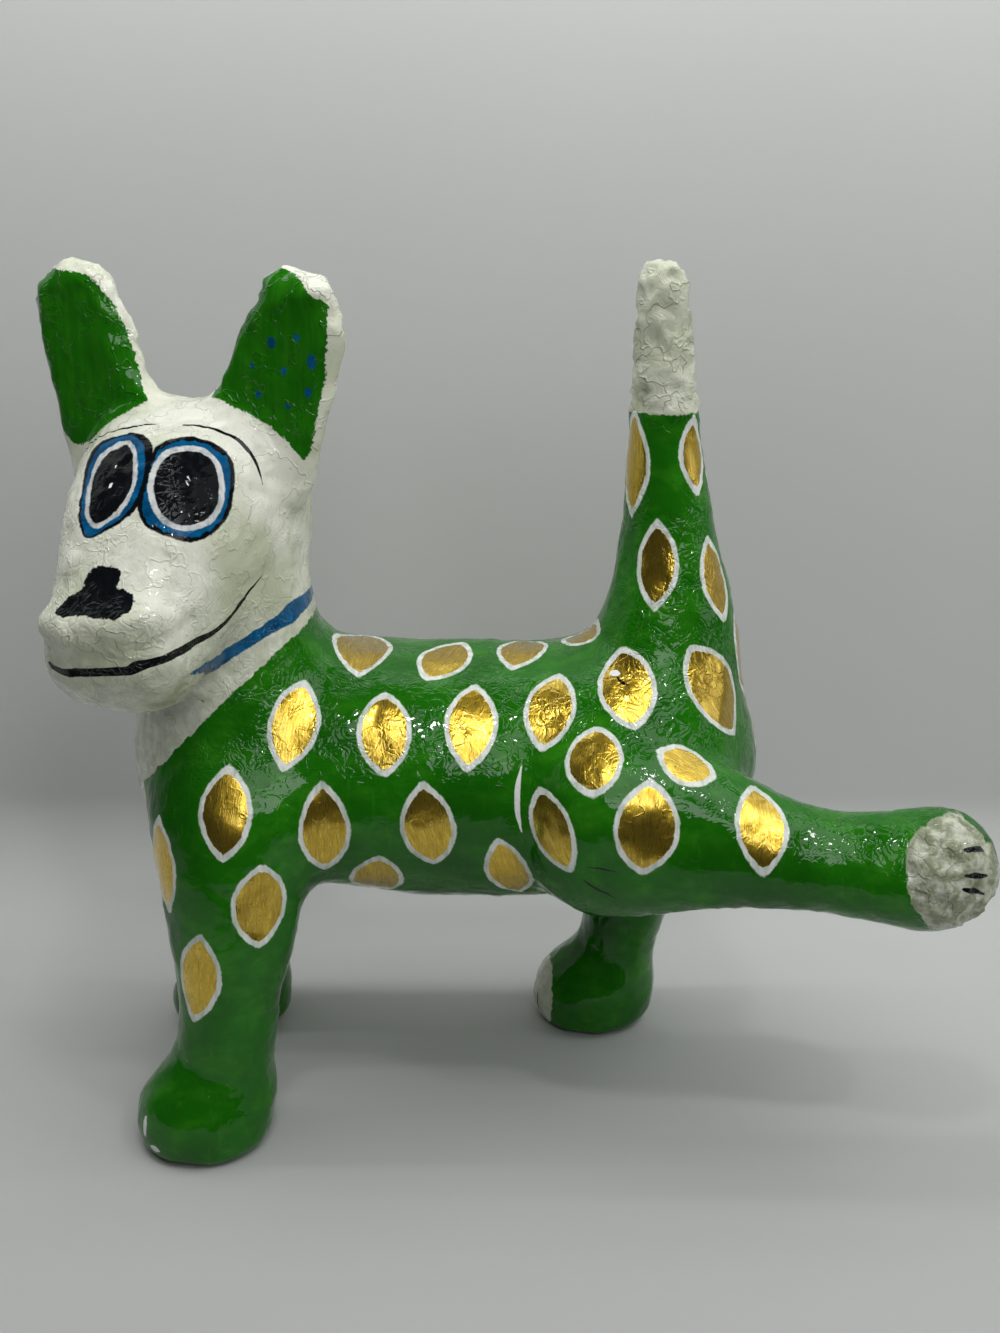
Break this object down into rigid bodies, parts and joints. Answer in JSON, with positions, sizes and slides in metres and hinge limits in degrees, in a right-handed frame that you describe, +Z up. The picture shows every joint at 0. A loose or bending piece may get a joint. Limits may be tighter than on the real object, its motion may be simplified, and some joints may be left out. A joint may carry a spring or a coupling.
{
  "type": "papier-mache dog",
  "caption": "Papier-mache dog on three feet with one hind leg lifted behind it, upright tail and ears, head turned to its left; painted green with gold ovals",
  "frame": {"origin": "centre of the bounding box on the surface the dog stands on", "axes": "+X runs from the chest to the lifted hind foot, so the body faces -X; the dog's left side and its face are towards -Y; +Z is up"},
  "size_m": [0.3682, 0.1598, 0.3452],
  "materials": {
    "painted_paper": "papier-mache, brush painted green, white, gold, blue and black, then varnished glossy"
  },
  "bodies": {
    "root": {"dog": "painted_paper"}
  },
  "joints": []
}
